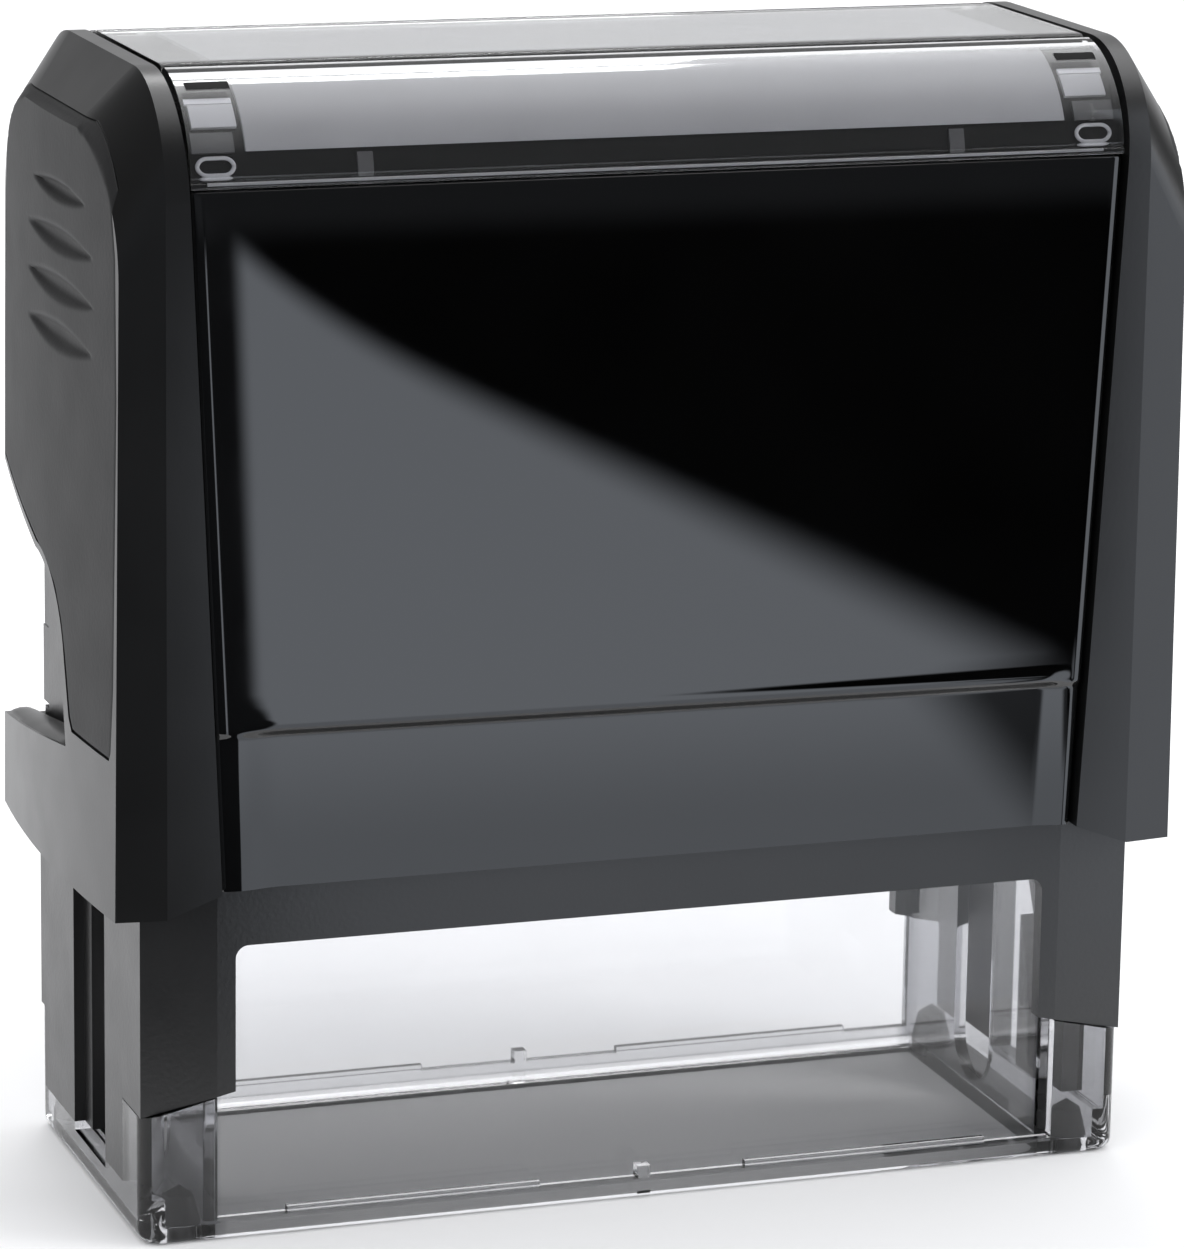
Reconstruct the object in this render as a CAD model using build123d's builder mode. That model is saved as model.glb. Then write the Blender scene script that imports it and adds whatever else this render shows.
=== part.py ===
"""Self inking stamp for a wide text plate.

Millimetres, +Z up, +X along the length, front face towards -Y.
The origin is the middle of the underside of the clear base.
"""

import os
from math import cos, hypot, pi, sin

from build123d import *

os.makedirs("parts", exist_ok=True)

# clear base
BASE_LENGTH = 95.0
BASE_DEPTH = 38.0
BASE_CORNER = 2.0
BASE_WALL = 1.3
BASE_FLOOR = 1.4
RAIL_TOP = 2.0
SILL_TOP = 4.1
SILL_INNER = 45.2
LINER_INNER = 40.2
LINER_THICK = 1.2
LINER_TOP = 38.0
PANE_INNER = 15.6
PANE_OUTER = 16.8
POST_INNER = 40.6

# inner frame
CREASE = 40.6
FRAME_END = 47.5
FRAME_END_DEPTH = 18.3
FRAME_WALL_Y = 17.4
FRAME_WALL_X = 44.5
FRAME_TOP = 63.0
WINDOW_HALF = 38.9
WINDOW_TOP = 27.5
LEG_LOW = 11.7
LEG_HIGH = 14.0
LEG_GAP = 0.1

# turning die
STROKE = 28.0
AXLE_HEIGHT = 34.25
AXLE_RADIUS = 2.5
FACE_HEIGHT = 6.25
DIE_HALF = 39.5
HUB_RADIUS = 4.0
CRANK_ARM = 7.0
GUIDE_RADIUS = 1.2
GUIDE_GAP = 0.35

# ink cartridge
TRAY_LOW = 41.3
TRAY_HIGH = 48.6
PAD_FACE = 41.5

# housing
HEIGHT = 105.2
SHOULDER_Z = 94.7
SHOULDER_Y = 10.8
SHOULDER_RADIUS = 10.5
INNER_DEPTH = 19.5
HOUSING_DEPTH = 21.3
CAP_DEPTH = 21.8
CAP_CAVITY = 48.4
CAP_SHOULDER = 45.9
CAP_FACE = 50.3
EDGE_LOW = (40.9, 33.1)
EDGE_HIGH = (44.2, HEIGHT)
PANEL_TOP = 95.6
COVER_LOW = 95.7
COVER_HALF = 43.5
CARD_HALF = 38.2
SPRING_X = 35.0
ROOF_INNER = 3.6
SCOOP_Y = -3.2
SCOOPS = ((93.2, 8.4, 0.9), (88.9, 10.8, 1.15), (84.6, 11.0, 1.2), (80.3, 10.8, 1.3))
REAR_LOW = 39.5
REAR_HIGH = 60.0


def block(x0, x1, y0, y1, z0, z1, mode=Mode.ADD):
    """Box between two opposite corners, put in the part being built."""
    centre = ((x0 + x1) / 2, (y0 + y1) / 2, (z0 + z1) / 2)
    with Locations(centre):
        Box(abs(x1 - x0), abs(y1 - y0), abs(z1 - z0), mode=mode)


def rod(x0, x1, y, z, radius, mode=Mode.ADD):
    """Cylinder lying along X between x0 and x1."""
    with Locations(Location(((x0 + x1) / 2, y, z), (0, 90, 0))):
        Cylinder(radius, abs(x1 - x0), mode=mode)


def pillar(x, y, z0, z1, radius, mode=Mode.ADD):
    """Upright cylinder between two heights."""
    with Locations((x, y, (z0 + z1) / 2)):
        Cylinder(radius, z1 - z0, mode=mode)


def arch(x, inset, low):
    """Side outline of the housing, moved in by inset, as a face at one X."""
    half = HOUSING_DEPTH - inset
    radius = SHOULDER_RADIUS - inset
    top = HEIGHT - inset
    with BuildSketch(Plane.YZ.offset(x)) as outline:
        with BuildLine():
            Line((-half, low), (half, low))
            Line((half, low), (half, SHOULDER_Z))
            RadiusArc((half, SHOULDER_Z), (SHOULDER_Y, top), -radius)
            Line((SHOULDER_Y, top), (-SHOULDER_Y, top))
            RadiusArc((-SHOULDER_Y, top), (-half, SHOULDER_Z), -radius)
            Line((-half, SHOULDER_Z), (-half, low))
        make_face()
    return outline.sketch


def edge_x(z):
    """Inner edge of the end cap at one height."""
    share = (z - EDGE_LOW[1]) / (EDGE_HIGH[1] - EDGE_LOW[1])
    return EDGE_LOW[0] + share * (EDGE_HIGH[0] - EDGE_LOW[0])


def middle_outline(y, low, high, gap):
    """Front view of the wall between the two end caps, as a face at one Y."""
    left_low = edge_x(low) - gap
    left_high = edge_x(high) - gap
    with BuildSketch(Plane.XZ.offset(-y)) as outline:
        with BuildLine():
            Polyline(
                (-left_low, low),
                (left_low, low),
                (left_high, high),
                (-left_high, high),
                close=True,
            )
        make_face()
    return outline.sketch


def finish(part, name):
    """Name a piece and write its file."""
    part.label = name
    export_step(part, f"parts/{name}.step")


def other_side(part):
    """The same piece for the left end."""
    return mirror(part, about=Plane.YZ)


# ---------------------------------------------------------------- clear base
with BuildPart() as clear_base:
    with BuildSketch():
        RectangleRounded(BASE_LENGTH, BASE_DEPTH, BASE_CORNER)
    extrude(amount=LEG_HIGH)
    fillet(clear_base.faces().sort_by(Axis.Z)[0].edges(), 1.2)
    inner_x = BASE_LENGTH / 2 - BASE_WALL
    inner_y = BASE_DEPTH / 2 - BASE_WALL
    block(-inner_x, inner_x, -inner_y, inner_y, BASE_FLOOR, 20, Mode.SUBTRACT)
    block(-LINER_INNER, LINER_INNER, -PANE_INNER, PANE_INNER, -1, 5, Mode.SUBTRACT)
    block(-POST_INNER, POST_INNER, -20, 20, RAIL_TOP, 20, Mode.SUBTRACT)
    # clear sleeve that lines the window on all four sides
    sleeve = LINER_INNER + LINER_THICK
    for side in (-1, 1):
        block(side * 44, side * 50, -12, 17, SILL_TOP, 20, Mode.SUBTRACT)
        with BuildSketch(Plane.XZ.offset(30)):
            with BuildLine():
                Polyline(
                    (side * POST_INNER, LEG_HIGH - 0.39 - LEG_GAP),
                    (side * 50, LEG_LOW - 0.25 - LEG_GAP),
                    (side * 50, 30),
                    (side * POST_INNER, 30),
                    close=True,
                )
            make_face()
        extrude(amount=-60, mode=Mode.SUBTRACT)
        block(side * SILL_INNER, side * inner_x, -inner_y, inner_y, BASE_FLOOR, SILL_TOP)
        block(side * LINER_INNER, side * sleeve, -PANE_OUTER, PANE_OUTER, BASE_FLOOR, LINER_TOP)
        block(-sleeve, sleeve, side * PANE_INNER, side * PANE_OUTER, BASE_FLOOR, LINER_TOP)
        slot = HUB_RADIUS + 0.3
        low = AXLE_HEIGHT - STROKE
        block(side * 40, side * 42, -slot, slot, low, 40, Mode.SUBTRACT)
        rod(side * 40, side * 42, 0, low, slot, Mode.SUBTRACT)
        block(side * 45, side * 50, -5.7, 5.7, 3.3, 6, Mode.SUBTRACT)
        for y in (-15.7, 15.7):
            pillar(side * 43.4, y, -1, BASE_FLOOR + 1, 1.95, Mode.SUBTRACT)
    for y in (-inner_y - BASE_WALL / 2, inner_y + BASE_WALL / 2):
        block(-0.6, 0.6, y - BASE_WALL / 2, y + BASE_WALL / 2, 0.5, 3.2)
        for x in (-22, 22):
            block(x - 12, x + 12, y - 0.35, y + 0.35, RAIL_TOP, RAIL_TOP + 0.6)
finish(clear_base.part, "clear_base")

# ------------------------------------------------------------- rubber feet
with BuildPart() as rubber_feet:
    for x in (-43.4, 43.4):
        for y in (-15.7, 15.7):
            with BuildSketch(Plane.XZ.offset(-y)):
                with BuildLine():
                    Polyline((x, 0), (x + 1.9, 0), (x + 1.9, 1.5))
                    Line((x + 1.9, 1.5), (x + 1.3, 3.9))
                    Line((x + 1.3, 3.9), (x, 4.8))
                    Line((x, 4.8), (x, 0))
                make_face()
            revolve(axis=Axis((x, y, 0), (0, 0, 1)))
finish(rubber_feet.part, "rubber_feet")

# -------------------------------------------------------------- inner frame
guide_path = []
for step in range(0, 25):
    turn = pi * step / 24
    y = CRANK_ARM * cos(turn)
    z = AXLE_HEIGHT - STROKE * step / 24 + CRANK_ARM * sin(turn)
    guide_path.append((y, z))

with BuildPart() as inner_frame:
    with BuildSketch(Plane.XY.offset(SILL_TOP)):
        with BuildLine():
            Polyline(
                (CREASE, -BASE_DEPTH / 2),
                (FRAME_END, -FRAME_END_DEPTH),
                (FRAME_END, FRAME_END_DEPTH),
                (CREASE, BASE_DEPTH / 2),
                (-CREASE, BASE_DEPTH / 2),
                (-FRAME_END, FRAME_END_DEPTH),
                (-FRAME_END, -FRAME_END_DEPTH),
                (-CREASE, -BASE_DEPTH / 2),
                close=True,
            )
        make_face()
    extrude(amount=FRAME_TOP - SILL_TOP)
    fx = FRAME_WALL_X
    fy = FRAME_WALL_Y
    block(-fx, fx, -fy, fy, 0, FRAME_TOP - 2, Mode.SUBTRACT)
    with BuildSketch(Plane.XZ.offset(30)):
        with Locations((0, WINDOW_TOP - 20)):
            RectangleRounded(2 * WINDOW_HALF, 40, 1.2)
    extrude(amount=-60, mode=Mode.SUBTRACT)
    for side in (-1, 1):
        for y0, y1 in ((-20, -12), (17, 20)):
            with BuildSketch(Plane.XZ.offset(-y0)):
                with BuildLine():
                    Polyline(
                        (side * (WINDOW_HALF - 1), 0),
                        (side * (WINDOW_HALF - 1), LEG_HIGH),
                        (side * WINDOW_HALF, LEG_HIGH),
                        (side * 50, LEG_LOW - 0.25),
                        (side * 50, 0),
                        close=True,
                    )
                make_face()
            extrude(amount=y0 - y1, mode=Mode.SUBTRACT)
        # shallow channel on the outside and the slot the axle runs in
        block(side * 46.5, side * 48, -5.7, 5.7, 0, 39, Mode.SUBTRACT)
        block(side * 46.9, side * 48, -20, 20, 39.5, FRAME_TOP + 1, Mode.SUBTRACT)
        slot = AXLE_RADIUS + 0.4
        block(side * 44, side * 48, -slot, slot, 0, AXLE_HEIGHT, Mode.SUBTRACT)
        rod(side * 44, side * 48, 0, AXLE_HEIGHT, slot, Mode.SUBTRACT)
        # groove that turns the die over
        with BuildSketch(Plane.YZ.offset(side * 44.0)):
            reach = GUIDE_RADIUS + GUIDE_GAP
            with Locations(*guide_path):
                Circle(reach)
            for (ya, za), (yb, zb) in zip(guide_path, guide_path[1:]):
                long = hypot(yb - ya, zb - za)
                ny = -(zb - za) / long * reach
                nz = (yb - ya) / long * reach
                with BuildLine():
                    Polyline(
                        (ya + ny, za + nz),
                        (yb + ny, zb + nz),
                        (yb - ny, zb - nz),
                        (ya - ny, za - nz),
                        close=True,
                    )
                make_face()
        extrude(amount=side * 1.9, mode=Mode.SUBTRACT)
        # rails the cartridge slides on
        block(side * 41.4, side * fx, -fy, 18.3, 39.6, 41.2)
        pillar(side * SPRING_X, 0, FRAME_TOP, FRAME_TOP + 3, 3.2)
    # way out for the cartridge at the back
    block(-48, 48, 16.9, 20, 41.0, 48.9, Mode.SUBTRACT)
    block(-fx, fx, 16, 20, 41.0, 48.9, Mode.SUBTRACT)
finish(inner_frame.part, "inner_frame")

# ------------------------------------------------------------ ink cartridge
with BuildPart() as cartridge_tray:
    block(-44.2, 44.2, -17.1, 17.2, TRAY_LOW, TRAY_HIGH)
    block(-40, 40, -13.4, 13.4, TRAY_LOW - 1, 46.6, Mode.SUBTRACT)
    block(-46.8, 46.8, 17.1, 19.3, TRAY_LOW, TRAY_HIGH)
    for step in range(-3, 4):
        block(step * 5 - 1, step * 5 + 1, 18.7, 20, TRAY_LOW + 1.2, TRAY_HIGH - 1.2, Mode.SUBTRACT)
finish(cartridge_tray.part, "cartridge_tray")

with BuildPart() as ink_pad:
    block(-39.8, 39.8, -13.2, 13.2, PAD_FACE, 46.6)
finish(ink_pad.part, "ink_pad")

# -------------------------------------------------------------- turning die
with BuildPart() as die_carrier:
    block(-DIE_HALF, DIE_HALF, -11.5, 11.5, AXLE_HEIGHT - 4.5, AXLE_HEIGHT + 3.2)
    for side in (-1, 1):
        rod(side * DIE_HALF, side * 41.9, 0, AXLE_HEIGHT, HUB_RADIUS)
        rod(side * 30, side * 42, 0, AXLE_HEIGHT, AXLE_RADIUS + 0.05, Mode.SUBTRACT)
    for x in (-21, 0, 21):
        block(x - 8.5, x + 8.5, -9.5, 9.5, AXLE_HEIGHT - 5, AXLE_HEIGHT - 1.5, Mode.SUBTRACT)
finish(die_carrier.part, "die_carrier")

plate_low = AXLE_HEIGHT + FACE_HEIGHT - 1.5
with BuildPart() as die_cushion:
    block(-DIE_HALF, DIE_HALF, -12.2, 12.2, AXLE_HEIGHT + 3.2, plate_low)
finish(die_cushion.part, "die_cushion")

with BuildPart() as text_plate:
    block(-DIE_HALF, DIE_HALF, -12.5, 12.5, plate_low, plate_low + 0.9)
    with BuildSketch(Plane.XY.offset(plate_low + 0.9)):
        RectangleRounded(2 * DIE_HALF - 1, 24, 2)
        RectangleRounded(2 * DIE_HALF - 4, 21, 1, mode=Mode.SUBTRACT)
        for y, half in ((6, 30), (0, 24), (-6, 28)):
            with Locations((0, y)):
                SlotOverall(2 * half, 2.4)
    extrude(amount=0.6)
finish(text_plate.part, "text_plate")

with BuildPart() as crank_right:
    with BuildSketch(Plane.YZ.offset(41.9)):
        with Locations((0, AXLE_HEIGHT)):
            Circle(HUB_RADIUS)
        with Locations((CRANK_ARM / 2, AXLE_HEIGHT)):
            Rectangle(CRANK_ARM, 4.8)
        with Locations((CRANK_ARM, AXLE_HEIGHT)):
            Circle(2.4)
        with Locations((0, AXLE_HEIGHT)):
            Circle(AXLE_RADIUS + 0.05, mode=Mode.SUBTRACT)
    extrude(amount=2.0)
    rod(43.9, 45.6, CRANK_ARM, AXLE_HEIGHT, GUIDE_RADIUS)
finish(crank_right.part, "flip_crank_right")
crank_left = other_side(crank_right.part)
finish(crank_left, "flip_crank_left")

with BuildPart() as axle_right:
    rod(30.5, 50.0, 0, AXLE_HEIGHT, AXLE_RADIUS)
finish(axle_right.part, "axle_pin_right")
axle_left = other_side(axle_right.part)
finish(axle_left, "axle_pin_left")

# ------------------------------------------------------------------ end caps
with BuildPart() as cap_body:
    # full outline up to the shoulder, then a smaller one at the end face
    for x, half, radius, centre_z, flat in (
        (CAP_SHOULDER, CAP_DEPTH, SHOULDER_RADIUS, SHOULDER_Z, 11.3),
        (CAP_FACE, 21.2, 12.9, 86.9, 8.3),
    ):
        with BuildSketch(Plane.YZ.offset(x)):
            with BuildLine():
                Line((-half, 28), (half, 28))
                Line((half, 28), (half, centre_z))
                RadiusArc((half, centre_z), (flat, centre_z + radius), -radius)
                Line((flat, centre_z + radius), (-flat, centre_z + radius))
                RadiusArc((-flat, centre_z + radius), (-half, centre_z), -radius)
                Line((-half, centre_z), (-half, 28))
            make_face()
    loft(ruled=True)
    extrude(cap_body.faces().sort_by(Axis.X)[0], amount=6.5)
    extrude(cap_body.faces().sort_by(Axis.X)[-1], amount=1.6)
    # gently domed end face
    with BuildSketch(Plane.XY.offset(20)):
        with BuildLine():
            ThreePointArc((50.4, -23), (51.5, 0), (50.1, 23))
            Line((50.1, 23), (30, 23))
            Line((30, 23), (30, -23))
            Line((30, -23), (50.4, -23))
        make_face()
    extrude(amount=100, dir=(-0.0095, 0, 1), mode=Mode.INTERSECT)
    # slanted inner edge and stepped lower edge
    with BuildSketch(Plane.XZ.offset(30)):
        with BuildLine():
            Polyline(
                EDGE_LOW,
                (46.0, 31.2),
                (53.0, 31.2),
                (53.0, 110),
                (edge_x(110), 110),
                close=True,
            )
        make_face()
    extrude(amount=-60, mode=Mode.INTERSECT)

with BuildPart() as grip_right:
    add(cap_body.part)
    with BuildSketch(Plane.YZ.offset(49.3)) as grip_outline:
        with BuildLine():
            Polyline(
                (-20.9, 77.8),
                (-20.4, 89.9),
                (-18.9, 96.5),
                (-16.5, 99.6),
                (-12.5, 100.6),
                (12.5, 100.6),
                (16.5, 99.6),
                (18.9, 96.5),
                (20.4, 89.9),
                (20.9, 77.8),
                (20.9, 64.6),
                (4.4, 60.0),
            )
            ThreePointArc((4.4, 60.0), (-2.5, 57.3), (-5.9, 51.8))
            Polyline((-5.9, 51.8), (-7.6, 46.5), (-8.6, 45.4), (-19.3, 45.4), (-19.8, 46.2), (-20.4, 52.0))
            Line((-20.4, 52.0), (-20.9, 77.8))
        make_face()
    extrude(amount=5, mode=Mode.INTERSECT)
    # four finger scoops
    for z, wide, tall in SCOOPS:
        for x, scale in ((51.9, 1.26), (50.2, 0.86)):
            with BuildSketch(Plane.YZ.offset(x)):
                with BuildLine():
                    for bulge in (tall, -tall):
                        ThreePointArc(
                            (SCOOP_Y - wide * scale, z),
                            (SCOOP_Y, z + bulge * scale),
                            (SCOOP_Y + wide * scale, z),
                        )
                make_face()
        loft(ruled=True, mode=Mode.SUBTRACT)
finish(grip_right.part, "grip_insert_right")
grip_left = other_side(grip_right.part)
finish(grip_left, "grip_insert_left")

with BuildPart() as cap_right:
    add(cap_body.part)
    block(30, CAP_CAVITY, -INNER_DEPTH, INNER_DEPTH, 20, 93.9, Mode.SUBTRACT)
    extrude(arch(30, ROOF_INNER, 90), amount=16, mode=Mode.SUBTRACT)
    # finger opening at the back, low on the end
    with BuildSketch(Plane.YZ.offset(44.6)):
        with BuildLine():
            Line((-6.7, 43.6), (-4.7, 51.8))
            ThreePointArc((-4.7, 51.8), (-1.6, 56.9), (4.8, 59.4))
            Polyline((4.8, 59.4), (24.0, 65.0), (24.0, 39.5), (-6.7, 43.6))
        make_face()
    extrude(amount=10, mode=Mode.SUBTRACT)
    block(30, 47.2, 15, 24, REAR_LOW, REAR_HIGH, Mode.SUBTRACT)
    # seat of the grip insert
    extrude(grip_outline.sketch, amount=5, mode=Mode.SUBTRACT)
    rod(48, 50.0, 0, AXLE_HEIGHT, AXLE_RADIUS, Mode.SUBTRACT)
finish(cap_right.part, "end_cap_right")
cap_left = other_side(cap_right.part)
finish(cap_left, "end_cap_left")

# ------------------------------------------------------------- housing shell
with BuildPart() as housing_shell:
    extrude(arch(-46, 1.6, 91.9), amount=92)
    extrude(arch(-46, ROOF_INNER, 80), amount=92, mode=Mode.SUBTRACT)
    block(-46, 46, -INNER_DEPTH, -17.6, 91.9, 95.9)
    block(-46, 46, 17.6, HOUSING_DEPTH, 91.9, 95.6)
    block(-46, 46, -20.5, -INNER_DEPTH, 80, 99.0, Mode.SUBTRACT)
    block(-46, 46, INNER_DEPTH, HOUSING_DEPTH, REAR_HIGH, 95.6)
    for side in (-1, 1):
        pillar(side * SPRING_X, 0, 98.6, HEIGHT - ROOF_INNER + 0.5, 3.2)
    with BuildSketch(Plane.XZ.offset(30)):
        with BuildLine():
            Polyline(
                (-edge_x(30), 30),
                (edge_x(30), 30),
                (edge_x(110), 110),
                (-edge_x(110), 110),
                close=True,
            )
        make_face()
    extrude(amount=-60, mode=Mode.INTERSECT)
finish(housing_shell.part, "housing_shell")

# bar across the back, under the way out for the cartridge
with BuildPart() as rear_bar:
    extrude(middle_outline(INNER_DEPTH, EDGE_LOW[1], REAR_LOW, 0.0), amount=INNER_DEPTH - HOUSING_DEPTH)
finish(rear_bar.part, "rear_bar")

# -------------------------------------------------------------- front panel
with BuildPart() as front_panel:
    extrude(middle_outline(-INNER_DEPTH, EDGE_LOW[1], PANEL_TOP, 0.15), amount=HOUSING_DEPTH - INNER_DEPTH)
    with BuildSketch(Plane.XY.offset(30)):
        with BuildLine():
            Polyline(
                (-38.5, -21.6),
                (-33.5, -20.5),
                (37.5, -20.5),
                (41.5, -21.6),
                close=True,
            )
        make_face()
    extrude(amount=17.0, mode=Mode.SUBTRACT)
finish(front_panel.part, "front_panel")

# -------------------------------------------------- index cover and its card
with BuildPart() as index_cover:
    extrude(arch(-COVER_HALF, 0.0, 90), amount=2 * COVER_HALF)
    extrude(arch(-50, 1.2, 80), amount=100, mode=Mode.SUBTRACT)
    block(-50, 50, -30, 30, 80, COVER_LOW, Mode.SUBTRACT)
finish(index_cover.part, "index_cover")

with BuildPart() as label_card:
    extrude(arch(-CARD_HALF, 1.25, 90), amount=2 * CARD_HALF)
    extrude(arch(-50, 1.55, 80), amount=100, mode=Mode.SUBTRACT)
    block(-50, 50, -30, 30, 80, 98.5, Mode.SUBTRACT)
finish(label_card.part, "label_card")

# ------------------------------------------------------------ return springs
for side, name in ((-1, "left"), (1, "right")):
    with BuildPart() as return_spring:
        pillar(side * SPRING_X, 0, FRAME_TOP, HEIGHT - ROOF_INNER, 4.9)
        pillar(side * SPRING_X, 0, FRAME_TOP - 1, HEIGHT, 3.9, Mode.SUBTRACT)
    finish(return_spring.part, f"return_spring_{name}")
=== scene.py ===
import math

import bmesh
import bpy
from mathutils import Matrix, Vector


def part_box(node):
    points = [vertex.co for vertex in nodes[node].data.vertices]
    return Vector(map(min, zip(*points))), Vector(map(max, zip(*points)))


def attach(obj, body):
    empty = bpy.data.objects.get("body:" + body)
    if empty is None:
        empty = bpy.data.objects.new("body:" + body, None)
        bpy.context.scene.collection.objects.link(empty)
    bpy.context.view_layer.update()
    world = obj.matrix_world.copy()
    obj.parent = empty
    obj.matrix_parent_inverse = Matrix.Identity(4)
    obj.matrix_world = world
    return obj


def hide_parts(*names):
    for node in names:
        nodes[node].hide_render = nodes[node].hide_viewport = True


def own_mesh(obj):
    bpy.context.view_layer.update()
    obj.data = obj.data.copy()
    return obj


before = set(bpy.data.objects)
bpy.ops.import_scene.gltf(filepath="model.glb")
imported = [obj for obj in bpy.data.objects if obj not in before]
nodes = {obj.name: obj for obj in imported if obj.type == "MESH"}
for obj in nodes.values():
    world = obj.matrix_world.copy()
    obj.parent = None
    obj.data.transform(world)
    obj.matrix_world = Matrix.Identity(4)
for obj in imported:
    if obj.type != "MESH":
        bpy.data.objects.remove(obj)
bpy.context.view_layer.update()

# Dimensions of the CAD model that the visible pieces follow, in millimetres.
MM = 0.001
HEIGHT = 105.2
SHOULDER_Y = 10.8
SHOULDER_Z = 94.7
SHOULDER_RADIUS = 10.5
INNER_DEPTH = 19.5
EDGE_LOW = (40.9, 33.1)
EDGE_HIGH = (44.2, HEIGHT)
PANEL_GAP = 0.15
COVER_THICK = 1.2
SPRING_X = 35.0
FRAME_WALL = 47.85

# End cap: its outline shrinks from the shoulder to the end face.
CAP_SHOULDER = 45.9
CAP_FACE = 50.3
CAP_HALF = (21.8, 21.2)
CAP_RADIUS = (10.5, 12.9)
CAP_MIDDLE = (94.7, 86.9)
CAP_FLAT = (11.3, 8.3)
DOME_TOP = 51.5
DOME_START = 20.0
DOME_LEAN = 0.0095
DOME_FRONT = 0.0021
DOME_BACK = 0.0026

SIDES = ((-1, "front"), (1, "back"))
ENDS = ((-1, "left"), (1, "right"))


# --------------------------------------------------------------- number helpers
def smoothstep(low, high, value):
    share = min(max((value - low) / (high - low), 0.0), 1.0)
    return share * share * (3 - 2 * share)


def blend(pair, share):
    """Value between the two of a pair."""
    return pair[0] + (pair[1] - pair[0]) * share


def steps(values, counts):
    """Evenly divides each stretch between neighbouring values."""
    out = []
    for low, high, count in zip(values, values[1:], counts):
        out += [low + (high - low) * k / count for k in range(count)]
    return out + [values[-1]]


def bell(value, middle, width):
    """Smooth hump of height 1."""
    return math.exp(-((value - middle) / width) ** 2)


def rounded_edge(distance, radius):
    """How far a rounded edge falls back at a distance from it."""
    inward = radius - min(distance, radius)
    return radius - math.sqrt(max(radius ** 2 - inward ** 2, 0.0))


# ----------------------------------------------------------------- node helpers
NOISE_LOW = 0.3
NOISE_HIGH = 0.7


def linear(value):
    """sRGB step (0 to 255) to linear light."""
    value = value / 255.0
    if value <= 0.04045:
        return value / 12.92
    return ((value + 0.055) / 1.055) ** 2.4


def grey(value):
    return (linear(value), linear(value), linear(value * 1.03))


def noise(tree, where, scale, detail=3.0, rough=0.5):
    node = tree.nodes.new("ShaderNodeTexNoise")
    node.inputs["Scale"].default_value = scale
    node.inputs["Detail"].default_value = detail
    node.inputs["Roughness"].default_value = rough
    tree.links.new(where, node.inputs["Vector"])
    return node.outputs["Fac"]


def map_range(tree, value, from_low, from_high, to_low, to_high, kind="LINEAR"):
    node = tree.nodes.new("ShaderNodeMapRange")
    node.interpolation_type = kind
    node.inputs["From Min"].default_value = from_low
    node.inputs["From Max"].default_value = from_high
    node.inputs["To Min"].default_value = to_low
    node.inputs["To Max"].default_value = to_high
    tree.links.new(value, node.inputs["Value"])
    return node.outputs["Result"]


def ramp(tree, value, from_low, from_high, to_low, to_high):
    """Soft step between two levels."""
    return map_range(tree, value, from_low, from_high, to_low, to_high, "SMOOTHSTEP")


def calculate(tree, kind, *values):
    """Math node whose inputs are numbers or other nodes' outputs."""
    node = tree.nodes.new("ShaderNodeMath")
    node.operation = kind
    for socket, value in zip(node.inputs, values):
        if isinstance(value, (int, float)):
            socket.default_value = value
        else:
            tree.links.new(value, socket)
    return node.outputs[0]


def coordinates(tree, source):
    """Separate X, Y and Z outputs of a vector."""
    split = tree.nodes.new("ShaderNodeSeparateXYZ")
    tree.links.new(source, split.inputs["Vector"])
    return split.outputs["X"], split.outputs["Y"], split.outputs["Z"]


def two_tone(tree, source, dark, light):
    node = tree.nodes.new("ShaderNodeValToRGB")
    for element, place, colour in zip(
        node.color_ramp.elements, (NOISE_LOW, NOISE_HIGH), (dark, light)
    ):
        element.position = place
        element.color = (*colour, 1)
    tree.links.new(source, node.inputs["Fac"])
    return node.outputs["Color"]


def bump(tree, shader, source, strength, distance):
    node = tree.nodes.new("ShaderNodeBump")
    node.inputs["Strength"].default_value = strength
    node.inputs["Distance"].default_value = distance
    tree.links.new(source, node.inputs["Height"])
    tree.links.new(node.outputs["Normal"], shader.inputs["Normal"])


# -------------------------------------------------------------------- materials
def new_material(name):
    material = bpy.data.materials.new(name)
    material.use_nodes = True
    tree = material.node_tree
    shader = tree.nodes["Principled BSDF"]
    where = tree.nodes.new("ShaderNodeTexCoord")
    return material, tree, shader, where.outputs["Object"]


def moulded(name, dark, light, rough, grain=0.0, grain_scale=3000.0, ior=1.5, shine=0.5):
    """Moulded plastic: faint mottling, uneven gloss and a fine grain."""
    material, tree, shader, where = new_material(name)
    mottle = noise(tree, where, 60.0)
    tree.links.new(two_tone(tree, mottle, dark, light), shader.inputs["Base Color"])
    wear = noise(tree, where, 160.0, 5.0)
    gloss = map_range(tree, wear, NOISE_LOW, NOISE_HIGH, *rough)
    tree.links.new(gloss, shader.inputs["Roughness"])
    shader.inputs["IOR"].default_value = ior
    shader.inputs["Specular IOR Level"].default_value = shine
    if grain:
        bump(tree, shader, noise(tree, where, grain_scale, 2.0), grain, 0.00006)
    return material


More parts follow.
